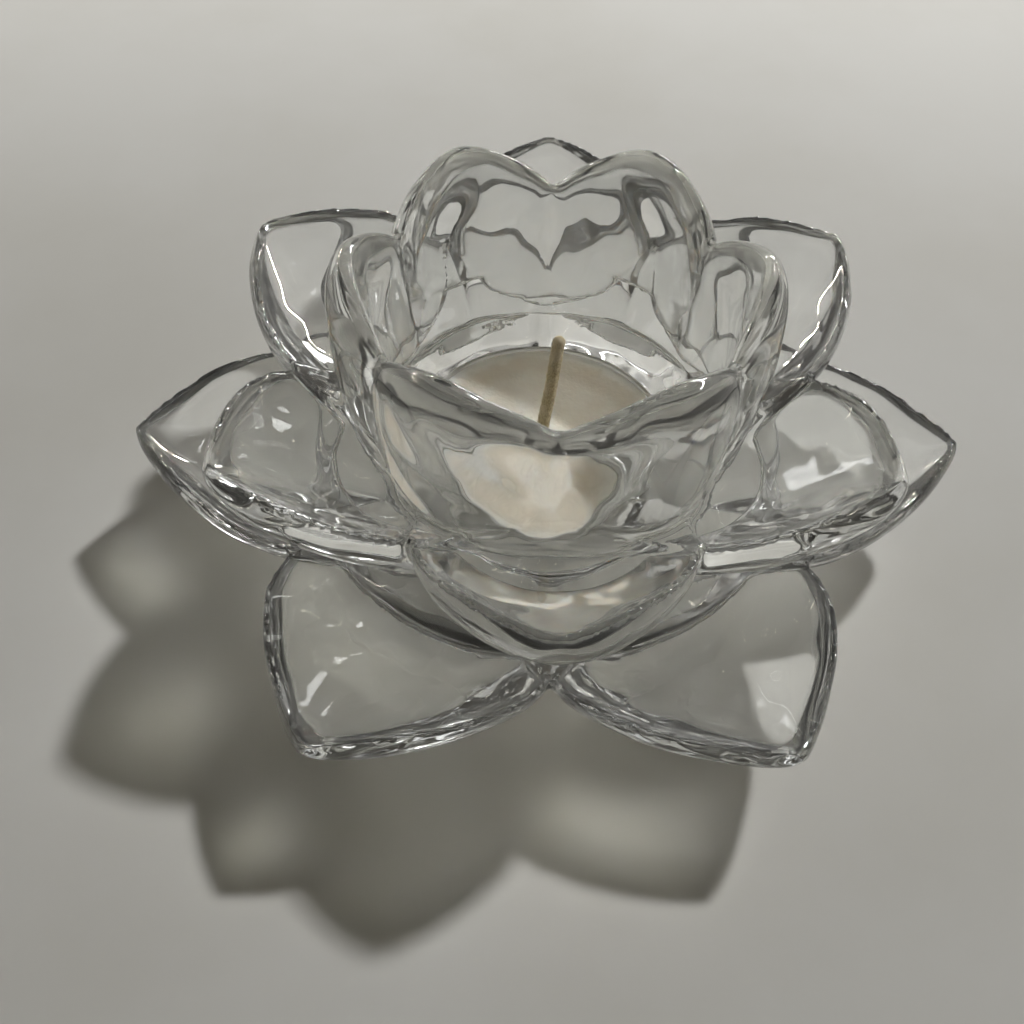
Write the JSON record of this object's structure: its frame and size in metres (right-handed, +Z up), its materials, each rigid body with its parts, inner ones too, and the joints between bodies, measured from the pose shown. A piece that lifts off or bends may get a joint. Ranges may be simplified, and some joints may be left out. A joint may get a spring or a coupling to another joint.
{
  "type": "candle holder",
  "caption": "Clear pressed-glass candle holder shaped as a lotus, with tiers of petals round a well that holds a loose cup candle.",
  "frame": {"origin": "on the table, under the middle of the glass foot", "axes": "+Z up along the flower's axis, +X towards the tip of a lower petal, +Y away from the viewer of the picture"},
  "size_m": [0.1244, 0.1084, 0.0535],
  "materials": {
    "pressed_glass": "clear, pressed and fire-polished",
    "clear_cup": "clear, thin",
    "wax": "cream candle wax with a few brown specks",
    "cotton": "waxed braided cotton, unburnt",
    "tinned_steel": "tinned sheet"
  },
  "bodies": {
    "holder": {"glass_lotus": "pressed_glass"},
    "cup": {"candle_cup": "clear_cup"},
    "candle": {"wax_fill": "wax", "wick": "cotton", "wick_sustainer": "tinned_steel"}
  },
  "joints": [
    {"name": "cup_lift", "type": "slide", "parent": "holder", "child": "cup", "axis": [0, 0, 1], "range_m": [0, 0.055]},
    {"name": "wax_lift", "type": "slide", "parent": "cup", "child": "candle", "axis": [0, 0, 1], "range_m": [0, 0.02]}
  ]
}
